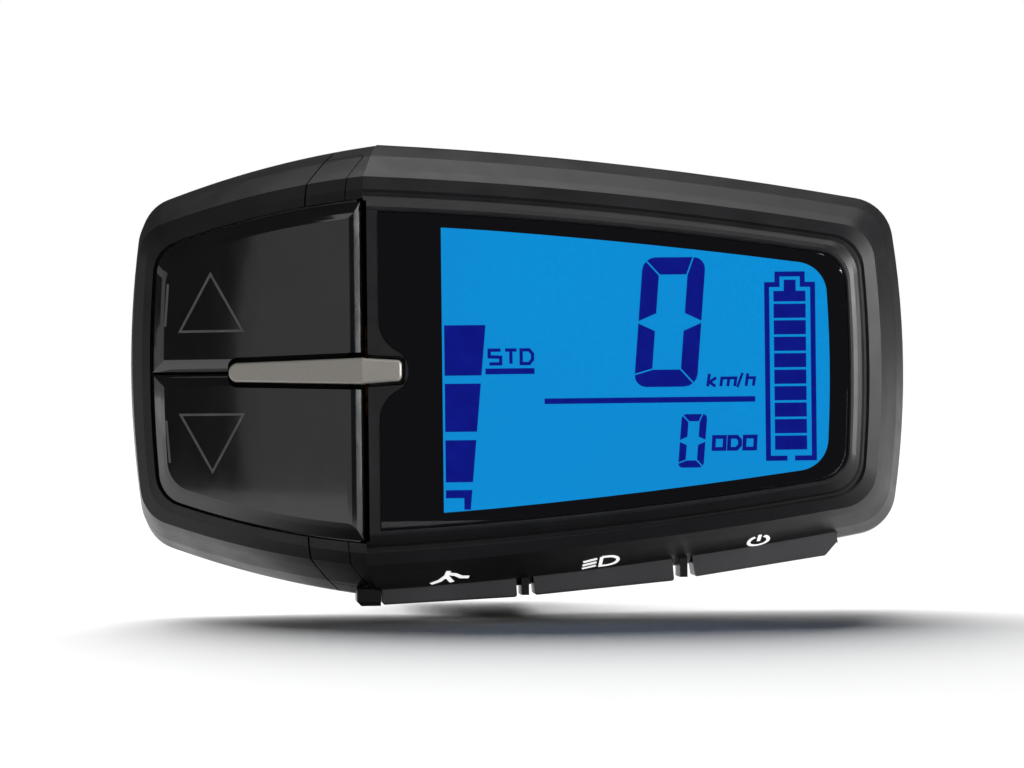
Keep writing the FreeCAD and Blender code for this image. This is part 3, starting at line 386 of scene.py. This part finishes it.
def ribbon(path, width, closed=False):
    """A line of the given width along a path, as one four-sided outline for each of its runs."""
    count = len(path)
    sides = []
    for i, point in enumerate(path):
        before, after = path[i - 1], path[(i + 1) % count]
        if not closed and i == 0:
            before = (2 * point[0] - after[0], 2 * point[1] - after[1])
        if not closed and i == count - 1:
            after = (2 * point[0] - before[0], 2 * point[1] - before[1])
        sides.append([offset_corner(before, point, after, side * width / 2) for side in (1, -1)])
    runs = range(count if closed else count - 1)
    return [[sides[i][0], sides[i][1], sides[(i + 1) % count][1], sides[(i + 1) % count][0]] for i in runs]


def add_piece(name, mesh, finish, body):
    """A visible piece with one finish, that moves with a body."""
    piece = bpy.data.objects.new(name, mesh)
    bpy.context.scene.collection.objects.link(piece)
    piece.data.materials.append(finish)
    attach(piece, body)


WELD = 0.0005             # points closer than this become one


def plates(name, outlines, place, front, back):
    """A mesh of thin plates, one for each outline; place(x, y, depth) says where a point goes."""
    shape = bmesh.new()
    for outline in outlines:
        near, far = [[shape.verts.new(place(x, y, depth)) for x, y in outline] for depth in (front, back)]
        shape.faces.new(near)
        shape.faces.new(reversed(far))
        for i in range(len(outline)):
            shape.faces.new((near[i - 1], near[i], far[i], far[i - 1]))
    bmesh.ops.remove_doubles(shape, verts=shape.verts, dist=WELD * MM)
    bmesh.ops.recalc_face_normals(shape, faces=shape.faces)
    mesh = bpy.data.meshes.new(name)
    shape.to_mesh(mesh)
    shape.free()
    return mesh


# ---------------------------------------------------------------- display graphics

SEGMENT = segment_blue()
SEGMENT_THICK = 0.05
SEGMENT_GAP = 0.01        # between the segments and the glass behind them
SEGMENT_BACK = GLASS_DEPTH - SEGMENT_GAP
SEGMENT_FRONT = SEGMENT_BACK - SEGMENT_THICK
ZERO_NOTCH = 0.45         # half the mouth of a 0's side notches, as a share of its stroke
ZERO_ROUND = 4            # runs in each of its round corners


def lcd_piece(name, outlines):
    mesh = plates(name, outlines, DISPLAY.place, SEGMENT_FRONT, SEGMENT_BACK)
    add_piece(name, mesh, SEGMENT, "housing")


def zero_digit(left, low, width, height, stroke, corner, lean, gap):
    """The six lit segments of a leaning 0, with thin gaps between them."""
    half = height / 2
    notch = stroke * ZERO_NOTCH
    mitre = ZERO_ROUND // 2
    top_left = arc((corner, height - corner), corner, 180, 90, ZERO_ROUND)
    top_right = arc((width - corner, height - corner), corner, 90, 0, ZERO_ROUND)
    low_right = arc((width - corner, corner), corner, 0, -90, ZERO_ROUND)
    low_left = arc((corner, corner), corner, 270, 180, ZERO_ROUND)
    inner_left, inner_right = stroke, width - stroke
    inner_low, inner_top = stroke, height - stroke
    clockwise = [
        [*top_left[mitre:], top_right[0], (inner_right, inner_top), (inner_left, inner_top)],
        [*top_right, (width, half), (inner_right, half + notch), (inner_right, inner_top)],
        [(width, half), *low_right[:mitre + 1], (inner_right, inner_low), (inner_right, half - notch)],
        [*low_right[mitre:], *low_left, (inner_left, inner_low), (inner_right, inner_low)],
        [low_left[-1], (0, half), (inner_left, half - notch), (inner_left, inner_low)],
        [(0, half), *top_left[:mitre + 1], (inner_left, inner_top), (inner_left, half + notch)],
    ]
    shrunk = [inset(segment[::-1], gap / 2) for segment in clockwise]
    return [[(left + x + lean * y, low + y) for x, y in segment] for segment in shrunk]


def letter_runs(strokes, left, low, width, height, weight, lean=0.0):
    """Ribbons for one letter: its box is width wide and height high, and leans to the right by lean."""
    runs = []
    for stroke in strokes:
        path = [(left + x * width + lean * y * height, low + y * height) for x, y in stroke]
        runs += ribbon(path, weight)
    return runs


# the strokes of each letter, in a box one unit wide and one high
LETTERS = {
    "S": [[(1, 1), (0, 1), (0, 0.52), (1, 0.48), (1, 0), (0, 0)]],
    "T": [[(0, 1), (1, 1)], [(0.5, 1), (0.5, 0)]],
    "D": [[(0.3, 1), (0, 1), (0, 0), (0.7, 0), (1, 0.3), (1, 0.7), (0.7, 1), (0.3, 1)]],
    "O": [[(0.5, 1), (0, 1), (0, 0), (1, 0), (1, 1), (0.5, 1)]],
    "k": [[(0, 1.15), (0, 0)], [(0.85, 0.8), (0.15, 0.38), (0.9, 0)]],
    "m": [[(0, 0), (0, 0.75), (1, 0.75), (1, 0)], [(0.5, 0.75), (0.5, 0)]],
    "/": [[(0, -0.1), (0.6, 1.2)]],
    "h": [[(0, 1.15), (0, 0)], [(0, 0.75), (0.85, 0.75), (0.85, 0)]],
}


def word_runs(word, left, low, pitch, width, height, weight, lean=0.0):
    """Ribbons for a word, its letters pitch apart."""
    runs = []
    for place, letter in enumerate(word):
        runs += letter_runs(LETTERS[letter], left + place * pitch, low, width, height, weight, lean)
    return runs


def battery_runs():
    """The battery's outline, open in the middle of its foot."""
    left, right, low, high = 44.5, 49.6, -10.08, 9.0
    tip_left, tip_right, tip = 45.66, 48.46, 10.15
    foot_left, foot_right = 46.6, 47.45
    weight = 0.55
    path = [(foot_right, low), (right, low), (right, high), (tip_right, high), (tip_right, tip),
            (tip_left, tip), (tip_left, high), (left, high), (left, low), (foot_left, low)]
    return ribbon(path, weight)


def battery_cells():
    """Ten charge cells, the top one with the battery's tip on it."""
    left, right, low, pitch, gap = 45.25, 48.8, -9.28, 1.81, 0.26
    tip_left, tip_right, tip, head = 46.4, 47.72, 9.52, 8.3
    plain_cells = 9
    feet = [low + level * pitch + gap / 2 for level in range(plain_cells + 1)]
    cells = [rectangle(left, right, foot, foot + pitch - gap) for foot in feet[:-1]]
    cells.append([(left, feet[-1]), (right, feet[-1]), (right, head), (tip_right, head), (tip_right, tip),
                  (tip_left, tip), (tip_left, head), (left, head)])
    return cells


def assist_blocks():
    """The stepped support gauge by the left edge; its lowest block is only half filled."""
    left, top, slope, reach = 8.95, 4.88, 0.091, 13.48

    def edge(z):
        """Where the gauge's slanting right edge is at a height."""
        return reach - slope * (top - z)

    full_blocks = [(-0.62, top), (-6.75, -1.5), (-12.25, -7.66)]
    blocks = [[(left, low), (edge(low), low), (edge(high), high), (left, high)] for low, high in full_blocks]
    high, shoulder, low, inner = -13.1, -13.98, -15.25, 10.95
    blocks.append([(left, shoulder), (inner, shoulder), (inner, low), (edge(low), low), (edge(high), high),
                   (left, high)])
    return blocks


def speed_unit_runs():
    """km/h in leaning letters of uneven widths."""
    low, height, lean = -2.1, 1.2, 0.15
    weight, slash_weight = 0.32, 0.27
    runs = letter_runs(LETTERS["/"], 41.15, low, 0.6, height, slash_weight, lean)
    for letter, left, width in (("k", 37.85, 0.95), ("m", 39.3, 1.55), ("h", 42.1, 0.95)):
        runs += letter_runs(LETTERS[letter], left, low, width, height, weight, lean)
    return runs


def display_graphics():
    speed = zero_digit(left=29.62, low=-2.18, width=7.1, height=14.36, stroke=2.05, corner=1.45, lean=0.082,
                       gap=0.16)
    distance = zero_digit(left=34.4, low=-11.05, width=2.95, height=6.0, stroke=0.92, corner=0.55, lean=0.085,
                          gap=0.14)
    odometer = word_runs("ODO", left=38.42, low=-8.98, pitch=1.7, width=1.2, height=1.32, weight=0.42,
                         lean=0.06)
    assist = word_runs("STD", left=13.85, low=0.62, pitch=1.75, width=1.25, height=1.5, weight=0.36)
    lcd_piece("speed_digit", speed)
    lcd_piece("distance_digit", distance)
    lcd_piece("speed_unit", speed_unit_runs())
    lcd_piece("distance_label", odometer)
    lcd_piece("assist_label", assist)
    lcd_piece("assist_underline", [rectangle(left=13.42, right=18.8, low=-0.52, high=0.12)])
    lcd_piece("readout_rule", [rectangle(left=19.86, right=43.1, low=-3.83, high=-3.22)])
    lcd_piece("battery_outline", battery_runs())
    lcd_piece("battery_charge", battery_cells())
    lcd_piece("assist_gauge", assist_blocks())


# ---------------------------------------------------------------- key symbols

SYMBOL_PROUD = 0.06
INK_PROUD = 0.03
SYMBOL_SUNK = 0.02        # how far a symbol's back lies under the surface that it sits on
RAY_START = 10.0          # how far under the part the search for its underside starts
FINE_STEP = 0.25
SYMBOL_EDGE = symbol_grey()
# the printed symbols' ink carries a painted glow that keeps it bright
SYMBOL_INK_PAINTED_GLOW = print_white_painted_glow()


def thumb_symbols():
    """A triangle that points away from the divider and a tick beside it, raised on each thumb key."""
    weight = 0.26
    near, far, point, foot, head = 14.45, 22.15, 18.3, 4.6, 10.9
    for name, body, side in (("up", "up_key", 1), ("down", "down_key", -1)):
        triangle = [(near, foot * side), (far, foot * side), (point, head * side)]
        tick = [(23.95, 5.2 * side), (23.55, 9.9 * side)]
        outlines = ribbon(triangle, weight, closed=True) + ribbon(tick, weight)
        mesh = plates(name + "_symbol", outlines, PANEL.place, -SYMBOL_PROUD, SYMBOL_SUNK)
        add_piece(name + "_symbol", mesh, SYMBOL_EDGE, body)


class Wrap:
    """Lays a flat drawing on the underside of the display bezel: x across, y towards the front."""

    def __init__(self, right, behind):
        bezel = frame["nodes"]["display_bezel"]
        self.surface = BVHTree.FromObject(bezel, bpy.context.evaluated_depsgraph_get())
        self.centre = Vector((RIDGE.x + right, RIDGE.y + behind, cad_low.z / MM - RAY_START))

    def place(self, x, y, depth):
        spot, normal, _, _ = self.surface.ray_cast((self.centre + Vector((x, -y, 0))) * MM, UP)
        return spot - normal * (depth * MM)


def fine(path):
    """The same path with points no further apart than FINE_STEP, so that it can follow a curved surface."""
    points = [path[0]]
    for start, end in zip(path, path[1:]):
        parts = max(1, math.ceil(math.dist(start, end) / FINE_STEP))
        points += [(start[0] + (end[0] - start[0]) * i / parts, start[1] + (end[1] - start[1]) * i / parts)
                   for i in range(1, parts + 1)]
    return points


def band_symbol(name, paths, weight, right, behind):
    """A symbol printed on the band over a lower key, its centre right of and behind the ridge."""
    wrap = Wrap(right, behind)
    outlines = [run for path in paths for run in ribbon(fine(path), weight)]
    mesh = plates(name, outlines, wrap.place, -INK_PROUD, SYMBOL_SUNK)
    # painted glow: the ink's emission keeps the printed symbol bright
    add_piece(name, mesh, SYMBOL_INK_PAINTED_GLOW, "housing")


def band_symbols():
    """A walking figure, a lamp with three beams and a power sign."""
    walker = [
        [(-0.25, 1.4), (-0.45, 0.4), (-1.1, -0.55), (-2.05, -1.15)],
        [(-0.4, 0.3), (0.3, -1.1)],
        [(-0.3, 0.85), (0.6, 0.5), (1.2, -0.1), (2.1, -0.25)],
    ]
    lens = [(0.1, 1.0), (0.1, -1.0), (0.7, -1.0), *arc((0.7, 0), 1.0, -75, 75, 10, stretch=1.3), (0.1, 1.0)]
    beams = [[(-0.4, y), (-1.9, y - 0.4)] for y in (0.75, 0.0, -0.75)]
    power = [arc((0, -0.1), 1.1, 118, 422, 20), [(0, 1.25), (0, -0.1)]]
    band_symbol("walk_symbol", walker, weight=0.5, right=9.57, behind=5.0)
    band_symbol("light_symbol", [lens, *beams], weight=0.38, right=26.18, behind=5.0)
    band_symbol("power_symbol", power, weight=0.38, right=43.93, behind=5.4)


# ---------------------------------------------------------------- studio and camera

FLOOR_GAP = 1.5           # millimetres from the part down to the floor
FLOOR_FRONT, FLOOR_BACK, FLOOR_SIDE = -0.35, 3.0, 2.0
SKY_STRENGTH = 5.4
SKY_SPREAD = math.radians(55)
SKY_TURN = (math.radians(-50), math.radians(-12), 0)
WORLD_DIM = 0.05          # the world's strength for all rays but the camera's
VIEW_TURN = math.radians(5.0)
VIEW_ROLL = math.radians(0.65)
VIEW_DISTANCE = 420.0     # the camera stands this far in front of the ridge,
VIEW_RIGHT = 16.15        # this far to its right
VIEW_DROP = 1.594         # and this far below its middle
SENSOR_WIDTH = 36.0
LENS_LENGTH = 136.05


def studio_floor():
    """A flat sheet of pale paper, long enough behind the part to run out of sight."""
    finish = Finish("floor_paper", Specular_IOR_Level=0.1)
    finish.colour(finish.ramp(finish.noise(60.0), (0.90, 0.90, 0.90), (0.92, 0.92, 0.92)))
    finish.rough(finish.ramp(finish.noise(4.0), 0.8, 0.9))
    level = cad_low.z - FLOOR_GAP * MM
    shape = bmesh.new()
    corners = rectangle(-FLOOR_SIDE, FLOOR_SIDE, FLOOR_FRONT, FLOOR_BACK)
    shape.faces.new([shape.verts.new((x, y, level)) for x, y in corners])
    mesh = bpy.data.meshes.new("studio_floor")
    shape.to_mesh(mesh)
    shape.free()
    floor = bpy.data.objects.new("studio_floor", mesh)
    bpy.context.scene.collection.objects.link(floor)
    floor.data.materials.append(finish.material)
    return floor


def soft_light(name, place, target, width, height, power, shape="RECTANGLE"):
    """A flat lamp that faces its target."""
    lamp = bpy.data.lights.new(name, "AREA")
    lamp.shape = shape
    lamp.size = width
    lamp.size_y = height
    lamp.energy = power
    holder = bpy.data.objects.new(name, lamp)
    holder.location = place
    holder.rotation_euler = (Vector(target) - Vector(place)).to_track_quat("-Z", "Y").to_euler()
    bpy.context.scene.collection.objects.link(holder)
    return holder


def studio_sky(floor):
    """A wide soft sun that lights the floor alone and gives it the part's shadow."""
    lamp = bpy.data.lights.new("floor_sky", "SUN")
    lamp.energy = SKY_STRENGTH
    lamp.angle = SKY_SPREAD
    holder = bpy.data.objects.new("floor_sky", lamp)
    holder.rotation_euler = SKY_TURN
    bpy.context.scene.collection.objects.link(holder)
    floor_only = bpy.data.collections.new("floor_only")
    floor_only.objects.link(floor)
    holder.light_linking.receiver_collection = floor_only


def studio_boxes(floor):
    """Soft boxes that light the part and leave the floor out."""
    middle = (cad_low + cad_high) / 2
    ridge = RIDGE * MM
    boxes = (
        soft_light("top_box", (0.03, 0.14, 0.52), middle, width=0.6, height=0.36, power=1.5),
        soft_light("front_strip", (0.16, -0.24, 0.53), middle, width=1.1, height=0.12, power=1.4),
        soft_light("panel_box", (-0.443, -0.543, 0.002), ridge, width=0.33, height=0.33, power=0.12,
                   shape="ELLIPSE"),
        soft_light("panel_top", (-0.32, -0.28, 0.46), ridge, width=0.25, height=0.25, power=0.2),
        soft_light("left_box", (-0.62, 0.03, 0.0), ridge, width=0.3, height=0.3, power=0.12),
        soft_light("rim_strip", (0.419, -0.453, 0.0), ridge, width=0.05, height=0.4, power=1.3),
        soft_light("right_box", (0.57, -0.28, 0.02), middle, width=0.2, height=0.5, power=6.5),
    )
    all_but_floor = bpy.data.collections.new("all_but_floor")
    all_but_floor.objects.link(floor)
    all_but_floor.collection_objects[0].light_linking.link_state = "EXCLUDE"
    for box in boxes:
        box.light_linking.receiver_collection = all_but_floor


def studio_world():
    """White to the camera, and dim to every other ray."""
    world = bpy.data.worlds.new("studio_world")
    world.use_nodes = True
    tree = world.node_tree
    background = tree.nodes["Background"]
    rays = tree.nodes.new("ShaderNodeLightPath")
    level = tree.nodes.new("ShaderNodeMapRange")
    level.inputs["To Min"].default_value = WORLD_DIM
    level.inputs["To Max"].default_value = 1.0
    tree.links.new(rays.outputs["Is Camera Ray"], level.inputs["Value"])
    tree.links.new(level.outputs[0], background.inputs["Strength"])
    background.inputs["Color"].default_value = (1, 1, 1, 1)
    bpy.context.scene.world = world


def camera():
    """A long lens in front of the part, turned a little round it and rolled."""
    lens = bpy.data.cameras.new("camera")
    lens.sensor_width = SENSOR_WIDTH
    lens.lens = LENS_LENGTH
    lens.clip_start = 10 * MM
    holder = bpy.data.objects.new("camera", lens)
    turn = Matrix.Rotation(-VIEW_TURN, 4, "Z")
    forward = turn @ Vector((0, 1, 0))
    right = turn @ Vector((1, 0, 0))
    place = RIDGE - forward * VIEW_DISTANCE + right * VIEW_RIGHT - UP * VIEW_DROP
    holder.matrix_world = (Matrix.Translation(place * MM) @ turn @ Matrix.Rotation(math.pi / 2, 4, "X")
                           @ Matrix.Rotation(-VIEW_ROLL, 4, "Z"))
    bpy.context.scene.collection.objects.link(holder)
    bpy.context.scene.camera = holder


camera()
finish_frame()
display_graphics()
thumb_symbols()
band_symbols()
paper = studio_floor()
studio_sky(paper)
studio_boxes(paper)
studio_world()
bpy.context.scene.view_settings.view_transform = "Standard"
